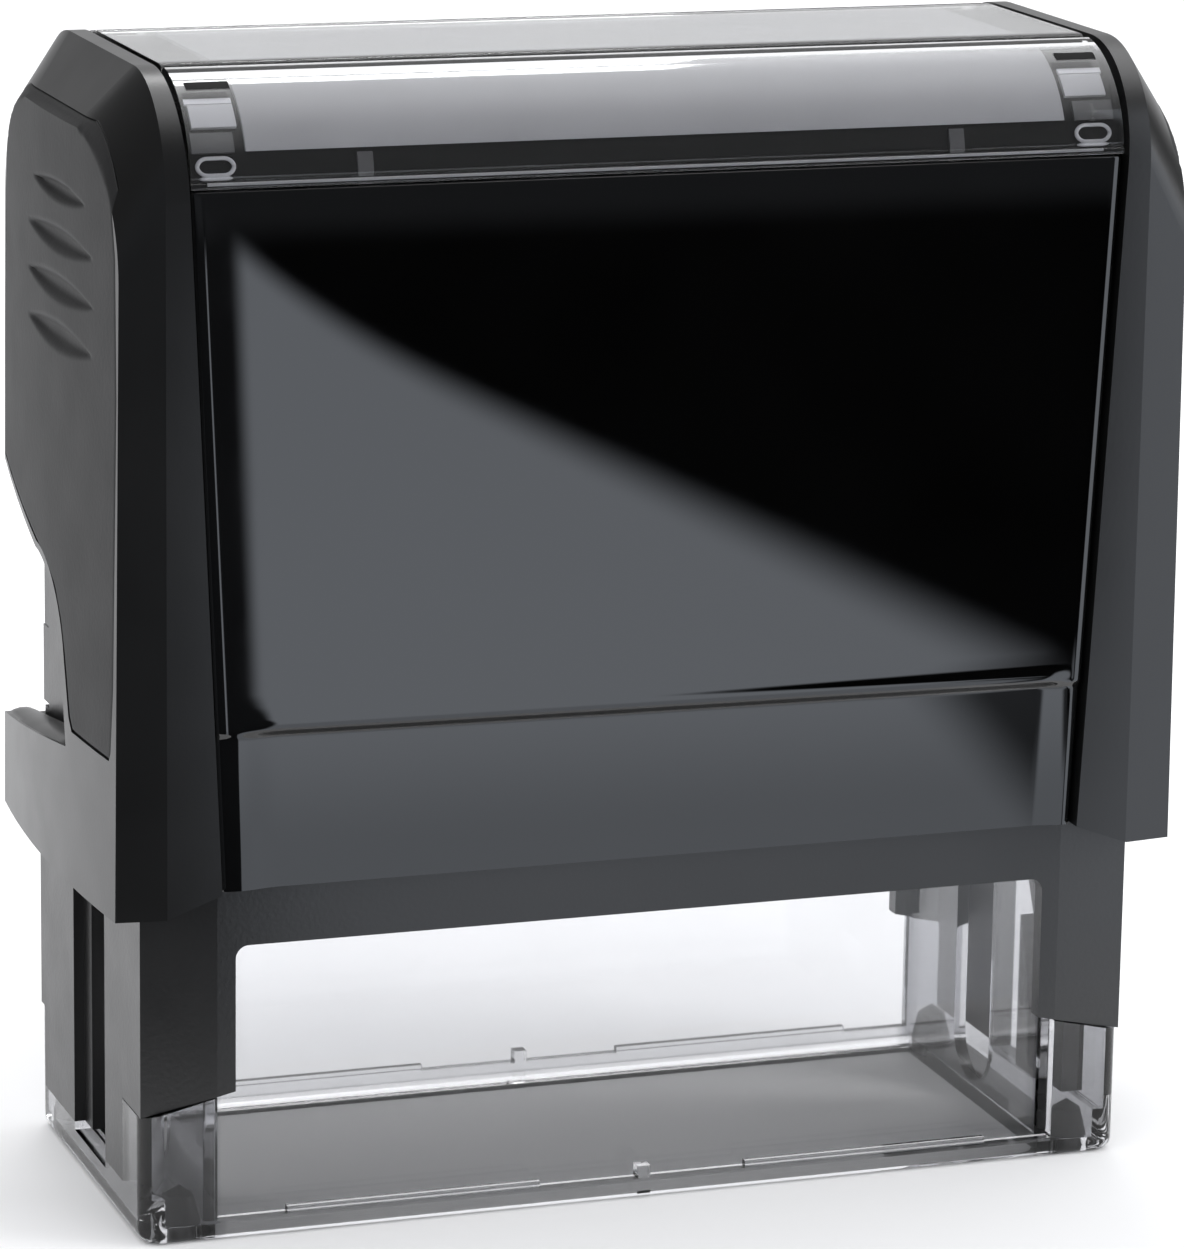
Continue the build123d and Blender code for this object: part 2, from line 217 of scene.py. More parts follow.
def clear(name, tint, end_tint=None, rough=0.02, wobble=0.02):
    """Clear moulded plastic with slight flow marks, deeper in colour past the window."""
    window_end = (0.0396, 0.0402)
    material, tree, shader, where = new_material(name)
    flow = noise(tree, where, 45.0)
    colour = two_tone(tree, flow, tuple(0.97 * c for c in tint), tint)
    if end_tint:
        from_middle = calculate(tree, "ABSOLUTE", coordinates(tree, where)[0])
        mix = tree.nodes.new("ShaderNodeMix")
        mix.data_type = "RGBA"
        past_window = map_range(tree, from_middle, *window_end, 0.0, 1.0)
        deep = two_tone(tree, flow, tuple(0.95 * c for c in end_tint), end_tint)
        # inputs 0, 6 and 7 are the factor and the two colours; output 2 is the colour
        tree.links.new(past_window, mix.inputs[0])
        tree.links.new(colour, mix.inputs[6])
        tree.links.new(deep, mix.inputs[7])
        colour = mix.outputs[2]
    tree.links.new(colour, shader.inputs["Base Color"])
    gloss = map_range(tree, flow, NOISE_LOW, NOISE_HIGH, rough, rough * 2.0)
    tree.links.new(gloss, shader.inputs["Roughness"])
    shader.inputs["IOR"].default_value = 1.46
    shader.inputs["Transmission Weight"].default_value = 1.0
    bump(tree, shader, noise(tree, where, 120.0), wobble, 0.0002)
    return material


def bright_steel(name):
    material, tree, shader, where = new_material(name)
    shader.inputs["Metallic"].default_value = 1.0
    marks = noise(tree, where, 400.0, 6.0)
    tree.links.new(two_tone(tree, marks, grey(150), grey(180)), shader.inputs["Base Color"])
    gloss = map_range(tree, marks, NOISE_LOW, NOISE_HIGH, 0.22, 0.38)
    tree.links.new(gloss, shader.inputs["Roughness"])
    return material


HOUSING = moulded("housing_plastic", grey(9), grey(13), (0.30, 0.34), 0.08, 2600.0, ior=1.6)
SHELL = moulded("shell_plastic", grey(8), grey(11), (0.45, 0.5), 0.08, 2600.0, shine=0.2)
FRAME = moulded("frame_plastic", grey(15), grey(20), (0.33, 0.38), 0.28, 2200.0, ior=1.6)
GRIP = moulded("grip_plastic", grey(30), grey(34), (0.60, 0.64), 0.45, 1900.0)
PANEL = moulded("panel_gloss_plastic", grey(2), grey(4), (0.03, 0.06), ior=1.75)
CLEAR_BASE = clear("base_clear_plastic", (0.92, 0.922, 0.932), (0.60, 0.603, 0.622))
CLEAR_COVER = clear("cover_clear_plastic", (0.97, 0.975, 0.98))
RUBBER = moulded("foot_rubber", grey(8), grey(14), (0.5, 0.7), 0.3, 1500.0)
CRANK = moulded("crank_plastic", grey(140), grey(155), (0.4, 0.5), 0.1)
PLATE = moulded("plate_rubber", (0.28, 0.05, 0.04), (0.34, 0.07, 0.06), (0.55, 0.7), 0.2)
FOAM = moulded("cushion_foam", grey(150), grey(170), (0.8, 0.9), 0.6, 1200.0)
FELT = moulded("pad_felt", (0.006, 0.006, 0.03), (0.012, 0.012, 0.05), (0.7, 0.9), 0.8, 1800.0)
CARD = moulded("card_paper", grey(171), grey(179), (0.7, 0.8), 0.15, 900.0)
CLIP_DARK = moulded("clip_shadow", grey(6), grey(9), (0.5, 0.6), 0.1, 900.0, shine=0.1)
# light plastic of the clip tabs and loops; also the painted highlight strip along the cover's
# lower edge
CLIP_LIGHT_AND_RIM_HIGHLIGHT = moulded("clip_light_plastic_and_rim_highlight", grey(190), grey(215), (0.15, 0.25), 0.05)
# painted highlight: a near-white strip that stands in for the glint on each clip
CLIP_PAINTED_GLINT = moulded("clip_painted_glint", grey(235), grey(245), (0.15, 0.25), 0.05)
CLIP_GREY = moulded("clip_grey_plastic", grey(84), grey(96), (0.2, 0.3), 0.05)
STEEL = bright_steel("spring_steel")

for name, material in (
    ("end_cap_left", HOUSING),
    ("end_cap_right", HOUSING),
    ("housing_shell", SHELL),
    ("rear_bar", HOUSING),
    ("grip_insert_left", GRIP),
    ("grip_insert_right", GRIP),
    ("inner_frame", FRAME),
    ("cartridge_tray", FRAME),
    ("die_carrier", FRAME),
    ("clear_base", CLEAR_BASE),
    ("index_cover", CLEAR_COVER),
    ("rubber_feet", RUBBER),
    ("flip_crank_left", CRANK),
    ("flip_crank_right", CRANK),
    ("axle_pin_left", STEEL),
    ("axle_pin_right", STEEL),
    ("text_plate", PLATE),
    ("die_cushion", FOAM),
    ("ink_pad", FELT),
    ("label_card", CARD),
):
    node = nodes[name]
    if not node.material_slots:
        node.data.materials.append(material)
    for entry in node.material_slots:
        entry.material = material


# ----------------------------------------------------------------- mesh helpers
def piece(name, verts, faces, material, body, smooth):
    """Mesh object in millimetres that rides a body; smooth is the sharp-edge angle."""
    mesh = bpy.data.meshes.new(name)
    mesh.from_pydata([Vector(point) * MM for point in verts], [], faces)
    mesh.validate()
    work = bmesh.new()
    work.from_mesh(mesh)
    bmesh.ops.recalc_face_normals(work, faces=work.faces)
    work.to_mesh(mesh)
    work.free()
    mesh.materials.append(material)
    mesh.shade_smooth()
    mesh.set_sharp_from_angle(angle=math.radians(smooth))
    obj = bpy.data.objects.new(name, mesh)
    bpy.context.collection.objects.link(obj)
    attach(obj, body)
    return obj


def slab(columns, rows, front, back):
    """Vertices and faces of a closed slab between two surfaces."""
    verts = [
        surface(i, j)
        for surface in (front, back)
        for j in range(rows)
        for i in range(columns)
    ]
    faces = []
    half = columns * rows
    for j in range(rows - 1):
        for i in range(columns - 1):
            a = j * columns + i
            quad = (a, a + 1, a + 1 + columns, a + columns)
            faces.append(quad)
            faces.append(tuple(half + quad[corner] for corner in (0, 3, 2, 1)))
    rim = [(i, 0) for i in range(columns)]
    rim += [(columns - 1, j) for j in range(1, rows)]
    rim += [(i, rows - 1) for i in range(columns - 2, -1, -1)]
    rim += [(0, j) for j in range(rows - 2, 0, -1)]
    for (i0, j0), (i1, j1) in zip(rim, rim[1:] + rim[:1]):
        a = j0 * columns + i0
        b = j1 * columns + i1
        faces.append((a, half + a, half + b, b))
    return verts, faces


def tube_faces(rings, around, closed):
    """Faces between neighbouring rings of vertices."""
    faces = []
    for k in range(rings if closed else rings - 1):
        a = k * around
        b = ((k + 1) % rings) * around
        for m in range(around):
            n = (m + 1) % around
            faces.append((a + m, a + n, b + n, b + m))
    return faces


def on_arc(side, degrees, inset):
    """Point of the shoulder arc at an angle above level, moved in by inset."""
    angle = math.radians(degrees)
    radius = SHOULDER_RADIUS - inset
    return side * (SHOULDER_Y + radius * math.cos(angle)), SHOULDER_Z + radius * math.sin(angle)


# ------------------------------------------------------------------ front panel
PANEL_DEPTH = 21.1
CROWN = 0.10
# the crease above the recessed band falls to the right
CREASE_Z = 47.0
CREASE_RISE = 0.7
CREASE_START = -35.0
CREASE_LENGTH = 76.0
CREASE_DROP = 0.9
RECESS_LEFT = (-40.2, -35.2)
RECESS_RIGHT = (37.4, 40.4)
RECESS_DEPTH = 0.8
LIP_HEIGHT = 0.16
LIP_ABOVE = 0.5
LIP_WIDTH = 0.55
# beside the band the panel leans back towards its ends
LEAN_DEPTH = 0.35
LEAN_WIDTH = 3.2
# a fine ridge runs down both ends
RIDGE_HEIGHT = 0.015
RIDGE_INWARD = 1.0
RIDGE_WIDTH = 0.14
SIDE_ROUNDING = 0.7
TOP_ROUNDING = 0.4

panel_low, panel_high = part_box("front_panel")
PANEL_Z0 = panel_low[2] / MM
PANEL_Z1 = panel_high[2] / MM


def panel_edge(z):
    """Half length of the panel at one height, a gap inside the end caps."""
    share = (z - EDGE_LOW[1]) / (EDGE_HIGH[1] - EDGE_LOW[1])
    return blend((EDGE_LOW[0], EDGE_HIGH[0]), share) - PANEL_GAP


def panel_depth(x, z):
    """How far forward the panel reaches: crowned, with a recessed band below a crease."""
    edge = panel_edge(z)
    side = edge - abs(x)
    recess = smoothstep(*RECESS_LEFT, x) * (1 - smoothstep(*RECESS_RIGHT, x))
    crease = CREASE_Z + CREASE_RISE * (1 - (x - CREASE_START) / CREASE_LENGTH)
    drop = 1 - smoothstep(crease - CREASE_DROP, crease, z)
    lip = LIP_HEIGHT * bell(z, crease + LIP_ABOVE, LIP_WIDTH) * recess
    crown = CROWN * (1 - (x / edge) ** 2)
    lean = LEAN_DEPTH * drop * smoothstep(0.0, LEAN_WIDTH, LEAN_WIDTH - side) * (1 - recess)
    ridge = RIDGE_HEIGHT * bell(side, RIDGE_INWARD, RIDGE_WIDTH)
    rounding = rounded_edge(side, SIDE_ROUNDING) + rounded_edge(PANEL_Z1 - z, TOP_ROUNDING)
    return PANEL_DEPTH + crown + lip + ridge - lean - RECESS_DEPTH * drop * recess - rounding


def front_panel():
    across = steps([-1.0, -0.985, -0.95, -0.8, 0.8, 0.95, 0.985, 1.0], [6, 12, 14, 30, 14, 12, 6])
    upward = steps([PANEL_Z0, 45.6, 48.6, 94.9, PANEL_Z1], [14, 24, 40, 6])

    def front(i, j):
        x = across[i] * panel_edge(upward[j])
        return (x, -panel_depth(x, upward[j]), upward[j])

    def back(i, j):
        return (across[i] * panel_edge(upward[j]), -INNER_DEPTH, upward[j])

    verts, faces = slab(len(across), len(upward), front, back)
    skin = piece("panel_skin", verts, faces, PANEL, "housing", 50.0)
    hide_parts("front_panel")


# ----------------------------------------------------------------- grip inserts
GRIP_RIM = (
    (-20.9, 77.8), (-20.4, 89.9), (-18.9, 96.5), (-16.5, 99.6), (-12.5, 100.6),
    (12.5, 100.6), (16.5, 99.6), (18.9, 96.5), (20.4, 89.9), (20.9, 77.8), (20.9, 64.6),
    (4.4, 60.0), (0.7, 58.9), (-2.5, 57.3), (-4.6, 54.7), (-5.9, 51.8), (-7.6, 46.5),
    (-8.6, 45.4), (-19.3, 45.4), (-19.8, 46.2), (-20.4, 52.0),
)
GRIP_SIDES = tuple(zip(GRIP_RIM, GRIP_RIM[1:] + GRIP_RIM[:1]))
GRIP_BACK = 49.35
GRIP_ROUNDING = 0.4
GRIP_ROUNDING_WIDTH = 0.5
SCOOP_Y = -3.2
SCOOP_DEPTH = 0.75
SCOOPS = ((93.2, 8.4, 0.9), (88.9, 10.8, 1.15), (84.6, 11.0, 1.2), (80.3, 10.8, 1.3))

# The insert starts at GRIP_BACK, so the cap's outline there bounds it at the top.
LIMIT = (GRIP_BACK + 0.05 - CAP_SHOULDER) / (CAP_FACE - CAP_SHOULDER)
LIMIT_RADIUS = blend(CAP_RADIUS, LIMIT)
LIMIT_MIDDLE = blend(CAP_MIDDLE, LIMIT)
LIMIT_FLAT = blend(CAP_FLAT, LIMIT)


def rim_span(z):
    """Least and greatest Y of the insert's outline at one height."""
    hits = []
    for (ya, za), (yb, zb) in GRIP_SIDES:
        if min(za, zb) <= z <= max(za, zb) and abs(zb - za) > 1e-6:
            hits.append(ya + (yb - ya) * (z - za) / (zb - za))
    low, high = min(hits), max(hits)
    if z > LIMIT_MIDDLE:
        limit = LIMIT_FLAT + math.sqrt(LIMIT_RADIUS ** 2 - (z - LIMIT_MIDDLE) ** 2)
        low, high = max(low, -limit), min(high, limit)
    return low, high


def rim_distance(y, z):
    """Distance from (y, z) to the insert's outline."""
    nearest = math.inf
    for (ya, za), (yb, zb) in GRIP_SIDES:
        dy, dz = yb - ya, zb - za
        t = min(max(((y - ya) * dy + (z - za) * dz) / (dy * dy + dz * dz), 0.0), 1.0)
        nearest = min(nearest, math.hypot(y - ya - t * dy, z - za - t * dz))
    if z > LIMIT_MIDDLE:
        corner = math.hypot(max(abs(y) - LIMIT_FLAT, 0.0), z - LIMIT_MIDDLE)
        nearest = min(nearest, max(LIMIT_RADIUS - corner, 0.0))
    return nearest


def inside_cap(y, z, share):
    """Whether (y, z) is inside the cap's outline at a share of its chamfer."""
    middle = blend(CAP_MIDDLE, share)
    radius = blend(CAP_RADIUS, share)
    flat = blend(CAP_FLAT, share)
    if z <= middle:
        return abs(y) <= blend(CAP_HALF, share)
    if abs(y) <= flat:
        return z <= middle + radius
    return math.hypot(abs(y) - flat, z - middle) <= radius


def cap_surface(y, z):
    """How far out the end cap reaches at (y, z)."""
    bulge = DOME_FRONT if y < 0 else DOME_BACK
    dome = DOME_TOP - bulge * y * y - DOME_LEAN * (z - DOME_START)
    if inside_cap(y, z, 1.0):
        return dome
    low, high = 0.0, 1.0
    for _ in range(24):
        half_way = (low + high) / 2
        if inside_cap(y, z, half_way):
            low = half_way
        else:
            high = half_way
    return min(dome, blend((CAP_SHOULDER, CAP_FACE), low))


def grip_surface(y, z):
    """Outer face of the insert: the cap's face with scoops and a rounded rim."""
    reach = cap_surface(y, z)
    for middle, wide, tall in SCOOPS:
        along = (y - SCOOP_Y) / wide
        if abs(along) < 1:
            share = abs(z - middle) / (tall * (1 - along * along) + 0.05)
            end_fade = (1 - along * along) ** 0.5
            reach -= SCOOP_DEPTH * (1 - smoothstep(0.15, 1.15, share)) * end_fade
    lip = min(rim_distance(y, z) / GRIP_ROUNDING_WIDTH, 1.0)
    return reach - GRIP_ROUNDING * (1 - math.sqrt(1 - (1 - lip) ** 2))


def grip_insert(end, end_name):
    rows = steps([45.45, 46.2, 57.0, 60.0, 66.0, 78.0, 96.0, 100.0, 100.55],
                 [3, 22, 8, 10, 10, 90, 12, 4])
    columns = steps([0.0, 0.03, 0.97, 1.0], [5, 60, 5])
    spans = [rim_span(z) for z in rows]

    def front(i, j):
        y = blend(spans[j], columns[i])
        return (end * max(grip_surface(y, rows[j]), GRIP_BACK + 0.02), y, rows[j])

    def back(i, j):
        return (end * GRIP_BACK, blend(spans[j], columns[i]), rows[j])

    verts, faces = slab(len(columns), len(rows), front, back)
    skin = piece(f"grip_{end_name}", verts, faces, GRIP, "housing", 50.0)
    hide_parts(f"grip_insert_{end_name}")


# ------------------------------------------------------------------ index cover
# each is an angle on the arc, a half width in degrees and a depth
GROOVE = (85.5, 2.2, 0.5)
BEAD = (7.2, 1.7, 0.25)
COVER_START = math.degrees(math.asin(1.0 / SHOULDER_RADIUS))


def cover_inset(degrees):
    """Groove below the flat top and a half-round bead along the lower edge."""
    middle, width, depth = GROOVE
    groove = depth * bell(degrees, middle, width)
    middle, width, depth = BEAD
    bead = min(abs(degrees - middle) / width, 1.0)
    neck = depth * (1 - math.sqrt(1 - bead * bead)) * (1 - smoothstep(9.2, 11.5, degrees))
    return groove + neck


def cover_outline(inset, flat_z):
    """Front edge, flat top and back edge of one side of the cover."""
    angles = steps([COVER_START, 12.0, 82.0, 90.0], [24, 46, 20])
    flat = steps([-10.6, 10.6], [16])
    front = [on_arc(-1, angle, inset(angle)) for angle in angles]
    back = [on_arc(1, angle, inset(angle)) for angle in reversed(angles)]
    return front + [(y, flat_z) for y in flat] + back


def index_cover():
    outer = cover_outline(cover_inset, HEIGHT)
    inner = cover_outline(lambda degrees: COVER_THICK, HEIGHT - COVER_THICK)
    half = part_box("index_cover")[1][0] / MM
    along = steps([-half, -42.5, 42.5, half], [2, 12, 2])
    verts, faces = slab(
        len(along), len(outer),
        lambda i, j: (along[i], *outer[j]),
        lambda i, j: (along[i], *inner[j]),
    )
    skin = piece("index_cover_skin", verts, faces, CLEAR_COVER, "cover", 40.0)
    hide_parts("index_cover")


# ---------------------------------------------- clips, ribs, painted glint and painted highlight and shade lines at the cover
LOOP_INSET = 1.45
LOOP_WIRE = 0.2


def curved_tile(name, side, span, angles, inset, thick, material, slot_name, body):
    """Slab that follows the shoulder arc between two angles."""
    along = steps(span, [4])
    arc = steps(angles, [8])

    def skin(depth):
        return lambda i, j: (along[i], *on_arc(side, arc[j], depth))

    verts, faces = slab(len(along), len(arc), skin(inset), skin(inset + thick))
    piece(name, verts, faces, material, body, 40.0)


def curved_loop(name, side, end, span, angles, material, body):
    """Rounded-rectangle bead lying below the cover."""
    per_degree = SHOULDER_RADIUS * math.pi / 180
    left, right = span
    corner = 0.28 * (right - left)
    high = (angles[1] - angles[0]) * per_degree - corner
    path = []
    for x, height, start in (
        (right - corner, high, 0),
        (left + corner, high, 90),
        (left + corner, corner, 180),
        (right - corner, corner, 270),
    ):
        for k in range(7):
            angle = math.radians(start + 15 * k)
            path.append((x + corner * math.cos(angle), height + corner * math.sin(angle)))
    around = 8
    verts = []
    for k, (px, py) in enumerate(path):
        after = Vector(path[(k + 1) % len(path)])
        before = Vector(path[k - 1])
        tangent = (after - before).normalized()
        for m in range(around):
            angle = 2 * math.pi * m / around
            across = LOOP_WIRE * math.cos(angle)
            u = px + tangent.y * across
            v = py - tangent.x * across
            inset = LOOP_INSET - LOOP_WIRE * math.sin(angle)
            verts.append((end * u, *on_arc(side, angles[0] + v / per_degree, inset)))
    piece(name, verts, tube_faces(len(path), around, True), material, body, 60.0)


# name, span from the middle, angles, inset, thickness, material, slot, body
CLIP_TILES = (
    ("clip_notch", (38.7, 42.6), (58.5, 64.0), -0.01, 0.3, CLIP_DARK, "housing_black", "cover"),
    ("clip_tab", (38.7, 42.7), (38.0, 52.0), 1.22, 0.35, CLIP_LIGHT_AND_RIM_HIGHLIGHT, "clear_cover", "housing"),
    ("clip_foot", (39.2, 43.0), (24.0, 35.0), 1.22, 0.35, CLIP_GREY, "housing_black", "housing"),
)
UNDER_TILES = (
    # clip_glint is a painted highlight, a white strip just under the cover at the clip
    ("clip_glint", (38.7, 42.9), (52.5, 56.0), 1.21, 0.2, CLIP_PAINTED_GLINT, "clear_cover", "housing"),
    ("card_rib", (26.9, 28.3), (8.0, 22.0), 1.24, 0.3, CLIP_GREY, "housing_black", "housing"),
)
# name, half length, then as above
COVER_LINES = (
    # cover_rim is a painted highlight: a light strip under the cover's lower edge, where the edge
    # catches light
    ("cover_rim", 41.8, (6.0, 7.0), 1.21, 0.2, CLIP_LIGHT_AND_RIM_HIGHLIGHT, "clear_cover", "cover"),
    ("cover_crease", 43.2, (84.6, 86.6), 0.14, 0.3, CLIP_DARK, "housing_black", "cover"),
)


def end_tiles(tiles, side, end, tag):
    for name, span, *how in tiles:
        curved_tile(f"{name}_{tag}", side, [end * x for x in span], *how)


def cover_details():
    for side, side_name in SIDES:
        for end, end_name in ENDS:
            tag = f"{side_name}_{end_name}"
            end_tiles(CLIP_TILES, side, end, tag)
            curved_loop(f"clip_loop_{tag}", side, end, (39.3, 42.6), (12.5, 21.5),
                        CLIP_LIGHT_AND_RIM_HIGHLIGHT, "housing")
            end_tiles(UNDER_TILES, side, end, tag)
    for side, side_name in SIDES:
        for name, half, *how in COVER_LINES:
            curved_tile(f"{name}_{side_name}", side, (-half, half), *how)


# --------------------------------- ledge between each lower end block and the frame
LEDGE_FRONT = (-5.4, -4.6)
LEDGE_BACK = (20.2, 21.0)
LEDGE_THICK = 2.2
LEDGE_FACE = 51.0
LEDGE_FALL_FRONT = 1.1
LEDGE_FALL_BACK = 1.4
LEDGE_FALL_AT = 23.0
LEDGE_GAP = 0.02
LEDGE_SHARE = (0.0, 0.2, 0.5, 0.8, 1.0)
LEDGE_RISE = (0.35, 0.45, 0.45, 0.3, 0.0)
OPENING_FRONT = (-6.7, 43.6)
OPENING_BACK = (24.0, 39.5)


def ledge_height(y):
    """Lower edge of the finger opening, which slopes down to the back."""
    share = (y - OPENING_FRONT[0]) / (OPENING_BACK[0] - OPENING_FRONT[0])
    return blend((OPENING_FRONT[1], OPENING_BACK[1]), share)


def ledge_reach(share, y):
    """From the frame's wall to just inside the end cap's face."""
    fall = LEDGE_FALL_FRONT if y < 0 else LEDGE_FALL_BACK
    return blend((FRAME_WALL, LEDGE_FACE - fall * (y / LEDGE_FALL_AT) ** 2), share)


def block_ledge(end, end_name):
    along = steps([*LEDGE_FRONT, *LEDGE_BACK], [3, 16, 4])

    def top(i, j):
        y = along[j]
        taper = min(smoothstep(*LEDGE_FRONT, y), 1 - smoothstep(*LEDGE_BACK, y))
        z = ledge_height(y) - LEDGE_GAP + LEDGE_RISE[i] * taper
        return (end * ledge_reach(LEDGE_SHARE[i], y), y, z)

    def bottom(i, j):
        y = along[j]
        return (end * ledge_reach(LEDGE_SHARE[i], y), y, ledge_height(y) - LEDGE_THICK)

    verts, faces = slab(len(LEDGE_SHARE), len(along), top, bottom)
    piece(f"block_ledge_{end_name}", verts, faces, HOUSING, "housing", 60.0)


# ---------------------------------------------------------------- return springs
COIL_RADIUS = 4.4
COIL_WIRE = 0.42
COIL_TURNS = 8.5
DEAD_COIL = 0.08
PER_TURN = 28
AROUND_WIRE = 10


def return_spring(side, side_name):
    """Coil between the frame's top and the housing's roof, with flat ends."""
    low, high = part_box(f"return_spring_{side_name}")
    rest = (high[2] - low[2]) / MM
    start = low[2] / MM + COIL_WIRE
    climb = rest - 2 * COIL_WIRE
    rings = int(COIL_TURNS * PER_TURN) + 1
    verts = []
    for k in range(rings):
        share = k / (rings - 1)
        turn = 2 * math.pi * COIL_TURNS * share
        live = (share - DEAD_COIL) / (1 - 2 * DEAD_COIL)
        rise = 0.35 * smoothstep(0.0, 1.0, live) + 0.65 * min(max(live, 0), 1)
        out = Vector((math.cos(turn), math.sin(turn), 0))
        centre = out * COIL_RADIUS + Vector((side * SPRING_X, 0, start + climb * rise))
        for m in range(AROUND_WIRE):
            angle = 2 * math.pi * m / AROUND_WIRE
            verts.append(centre + COIL_WIRE * (out * math.cos(angle)
                                               + Vector((0, 0, math.sin(angle)))))
    faces = tube_faces(rings, AROUND_WIRE, False)
    faces.append(tuple(range(AROUND_WIRE)))
    faces.append(tuple((rings - 1) * AROUND_WIRE + m for m in range(AROUND_WIRE)))
    spring = piece(f"coil_{side_name}", verts, faces, STEEL, "frame", 60.0)
    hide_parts(f"return_spring_{side_name}")
    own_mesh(spring)


# ------------------------------------------------------- softened edges of the CAD
EDGE_WIDTHS = (
    ("end_cap_left", 0.45),
    ("end_cap_right", 0.45),
    ("inner_frame", 0.25),
    ("rear_bar", 0.3),
    ("cartridge_tray", 0.3),
    ("clear_base", 0.15),
)


def soften(name, width):
    """Small rounded edges on a CAD node."""
    edge = nodes[name].modifiers.new("edges", "BEVEL")
    edge.width = width * MM
    edge.segments = 2
    edge.limit_method = "ANGLE"
    edge.angle_limit = math.radians(30.0)
    edge.use_clamp_overlap = True
    edge.harden_normals = True


front_panel()
for end, end_name in ENDS:
    grip_insert(end, end_name)
index_cover()
cover_details()
for end, end_name in ENDS:
    block_ledge(end, end_name)
for end, end_name in ENDS:
    return_spring(end, end_name)
for name, width in EDGE_WIDTHS:
    soften(name, width)


# ------------------------------------------------------------------------ floor
def pale_floor():
    material, tree, shader, where = new_material("floor_paper")
    paper = two_tone(tree, noise(tree, where, 6.0), (0.92, 0.92, 0.925), (0.94, 0.94, 0.945))
    tree.links.new(paper, shader.inputs["Base Color"])
    shader.inputs["Roughness"].default_value = 0.9
    shader.inputs["Specular IOR Level"].default_value = 0.1
    bpy.ops.mesh.primitive_plane_add(size=12, location=(0, 0, 0))
    floor = bpy.context.object
    floor.name = "floor"
    floor.data.materials.append(material)


# ------------------------------------------------------------------------ light
ROOM = 1.18
MIRRORED_ROOM = 0.10
BACK_GLOW = 0.60
TOP_GLOW = 2.6
FRONT_DIMMING = -0.9


def studio_world():
    """Even room light; mirror-like rays see only the back and the top bright.

    Rays that pass through clear plastic find the room dimmer towards the front.
    """
    world = bpy.data.worlds.new("studio")
    bpy.context.scene.world = world
    world.use_nodes = True
    tree = world.node_tree
    background = tree.nodes["Background"]
    background.inputs["Color"].default_value = (0.98, 0.985, 1.0, 1)
    direction = tree.nodes.new("ShaderNodeTexCoord")
    x, y, z = coordinates(tree, direction.outputs["Generated"])

    to_right = ramp(tree, x, -0.1, 0.25, 0.0, 1.0)
    low_down = ramp(tree, z, 0.14, 0.30, 1.0, 0.0)
    behind = calculate(tree, "MULTIPLY", ramp(tree, y, 0.35, 0.75, 0.0, BACK_GLOW),
                       calculate(tree, "MAXIMUM", to_right, low_down))
    overhead = calculate(tree, "MULTIPLY", ramp(tree, z, 0.60, 0.82, 0.0, TOP_GLOW),
                         ramp(tree, y, -0.65, 0.05, 0.0, 1.0))
    overhead = calculate(tree, "MULTIPLY", overhead, to_right)
    mirrored = calculate(tree, "MAXIMUM", behind, overhead)
    mirrored = calculate(tree, "ADD", mirrored, MIRRORED_ROOM)
    front = calculate(tree, "MULTIPLY", ramp(tree, y, -0.35, 0.05, 1.0, 0.0),
                      ramp(tree, z, 0.55, 0.80, 1.0, 0.0))

    rays = tree.nodes.new("ShaderNodeLightPath")
    passing = rays.outputs["Is Transmission Ray"]
    not_passing = calculate(tree, "SUBTRACT", 1.0, passing)
    is_mirrored = calculate(tree, "MULTIPLY", rays.outputs["Is Glossy Ray"], not_passing)
    in_mirror = calculate(tree, "MULTIPLY", is_mirrored,
                          calculate(tree, "SUBTRACT", mirrored, ROOM))
    in_clear = calculate(tree, "MULTIPLY", passing,
                         calculate(tree, "MULTIPLY", front, FRONT_DIMMING))
    strength = calculate(tree, "ADD", calculate(tree, "ADD", in_mirror, in_clear), ROOM)
    tree.links.new(strength, background.inputs["Strength"])


def softbox(name, place, target, size, power):
    data = bpy.data.lights.new(name, "AREA")
    data.shape = "RECTANGLE"
    data.size, data.size_y = size
    data.energy = power
    obj = bpy.data.objects.new(name, data)
    bpy.context.collection.objects.link(obj)
    obj.location = place
    direction = Vector(target) - Vector(place)
    obj.rotation_euler = direction.to_track_quat("-Z", "Y").to_euler()


# The card that the front panel mirrors. All places on it are in metres, along and up.
CARD_SIZE = (0.30, 0.14)
CARD_MIDDLE = (0.03, 0.071)
CARD_PLACE_Y = -0.060
CARD_TINT = (0.92, 0.98, 1.08, 1)
CARD_STRENGTH = 1.45
DARK_EDGE_START = 0.0657
DARK_EDGE_SLOPE = -0.50
DARK_EDGE_LEFT_CURVE = -160.0
LEFT_LEAN = 0.04
RIGHT_LEAN = -0.0458
CORNER_LEAN = 0.9
PAST_PANEL_LEVEL = 0.92
TOP_STRIP_LEVEL = 0.06


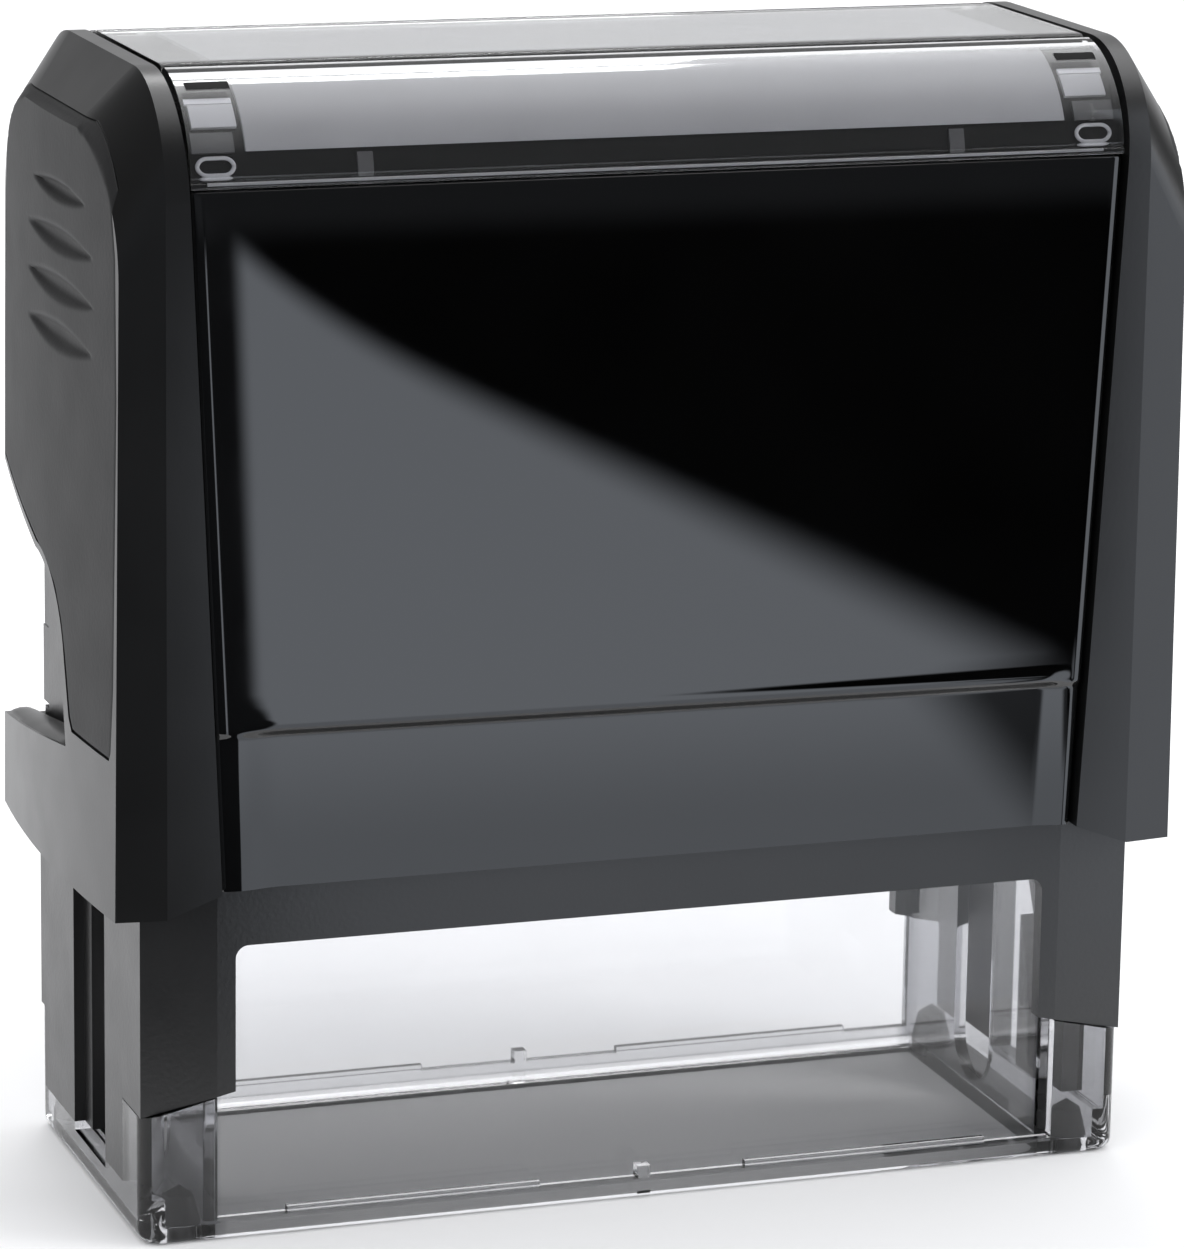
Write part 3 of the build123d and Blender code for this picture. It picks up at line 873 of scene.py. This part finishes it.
def card_level(tree, x, y):
    """Brightness of the card: a lit field below a slanted edge, dark at the upper right."""
    # the edge falls from left to right, faster at the left
    edge = calculate(tree, "MULTIPLY_ADD", x, DARK_EDGE_SLOPE, DARK_EDGE_START)
    left = calculate(tree, "MINIMUM", x, 0.0)
    curve = calculate(tree, "MULTIPLY", left, left)
    curve = calculate(tree, "MULTIPLY", curve, left)
    edge = calculate(tree, "MULTIPLY_ADD", curve, DARK_EDGE_LEFT_CURVE, edge)
    softness = ramp(tree, x, -0.03, 0.06, 0.0014, 0.0030)
    over = calculate(tree, "DIVIDE", calculate(tree, "SUBTRACT", y, edge), softness)
    level = ramp(tree, over, -1.6, 1.2, 1.0, 0.0)

    # darker past the left end, towards the bottom and in the lower right corner
    beside = calculate(tree, "MULTIPLY_ADD", y, LEFT_LEAN, x)
    low_right = calculate(tree, "MULTIPLY_ADD", y, CORNER_LEAN, x)
    low_right = calculate(tree, "MAXIMUM", ramp(tree, low_right, 0.071, 0.082, 1.0, 0.12),
                          ramp(tree, y, 0.0355, 0.037, 0.0, 1.0))
    for factor in (
        ramp(tree, beside, -0.0264, -0.0244, 0.03, 1.0),
        ramp(tree, y, 0.024, 0.038, 0.72, 1.0),
        low_right,
        ramp(tree, x, 0.0545, 0.059, 1.0, 0.0),
    ):
        level = calculate(tree, "MULTIPLY", level, factor)

    # lit again beyond the panel's slanted end, and a faint strip along the top
    past_panel = calculate(tree, "MULTIPLY_ADD", y, RIGHT_LEAN, x)
    for extra in (
        ramp(tree, past_panel, 0.0580, 0.0606, 0.0, PAST_PANEL_LEVEL),
        ramp(tree, y, 0.083, 0.087, 0.0, TOP_STRIP_LEVEL),
    ):
        level = calculate(tree, "ADD", level, extra)
    return level


def reflected_card():
    """Glowing card in front of the stamp that only reflections see."""
    material = bpy.data.materials.new("reflected_card")
    material.use_nodes = True
    tree = material.node_tree
    tree.nodes.clear()
    place = tree.nodes.new("ShaderNodeTexCoord")
    x, y, _ = coordinates(tree, place.outputs["Object"])
    strength = calculate(tree, "MULTIPLY", card_level(tree, x, y), CARD_STRENGTH)
    glow = tree.nodes.new("ShaderNodeEmission")
    glow.inputs["Color"].default_value = CARD_TINT
    tree.links.new(strength, glow.inputs["Strength"])
    out = tree.nodes.new("ShaderNodeOutputMaterial")
    tree.links.new(glow.outputs["Emission"], out.inputs["Surface"])

    bpy.ops.mesh.primitive_plane_add(size=1)
    reflector = bpy.context.object
    reflector.name = "reflected_card"
    reflector.data.transform(Matrix.Diagonal((*CARD_SIZE, 1, 1)))
    reflector.data.transform(Matrix.Translation((*CARD_MIDDLE, 0)))
    reflector.rotation_euler = (math.radians(90), 0, 0)
    reflector.location = (0, CARD_PLACE_Y, 0)
    reflector.data.materials.append(material)
    reflector.visible_camera = False
    reflector.visible_diffuse = False
    reflector.visible_transmission = False
    reflector.visible_shadow = False


pale_floor()
studio_world()
softbox("top_back", (0.05, 0.55, 0.80), (0, 0, 0.1), (0.55, 0.13), 1.9)
softbox("right_fill", (0.8, -0.4, 0.4), (0, 0, 0.05), (0.4, 0.5), 3.5)
reflected_card()

# ----------------------------------------------------------------------- camera
CAMERA_PLACE = Vector((-0.17130, -0.49026, 0.17480))
AZIMUTH = math.radians(-19.34)
ELEVATION = math.radians(13.52)
ROLL = math.radians(-0.874)
FOCAL_LENGTH = 165.6
SENSOR_WIDTH = 36.0


def standing_camera():
    """Long lens, a little to the left and above, rolled by under a degree."""
    back = Vector((
        math.sin(AZIMUTH) * math.cos(ELEVATION),
        -math.cos(AZIMUTH) * math.cos(ELEVATION),
        math.sin(ELEVATION),
    ))
    level_right = (-back).cross(Vector((0, 0, 1))).normalized()
    level_up = back.cross(level_right)
    right = math.cos(ROLL) * level_right - math.sin(ROLL) * level_up
    up = math.sin(ROLL) * level_right + math.cos(ROLL) * level_up
    lens = bpy.data.cameras.new("camera")
    lens.sensor_fit = "AUTO"
    lens.sensor_width = SENSOR_WIDTH
    lens.lens = FOCAL_LENGTH
    lens.clip_start = 0.01
    camera = bpy.data.objects.new("camera", lens)
    bpy.context.collection.objects.link(camera)
    camera.matrix_world = Matrix((
        (right.x, up.x, back.x, CAMERA_PLACE.x),
        (right.y, up.y, back.y, CAMERA_PLACE.y),
        (right.z, up.z, back.z, CAMERA_PLACE.z),
        (0, 0, 0, 1),
    ))
    return camera


bpy.context.scene.camera = standing_camera()
bpy.context.scene.view_settings.view_transform = "Standard"
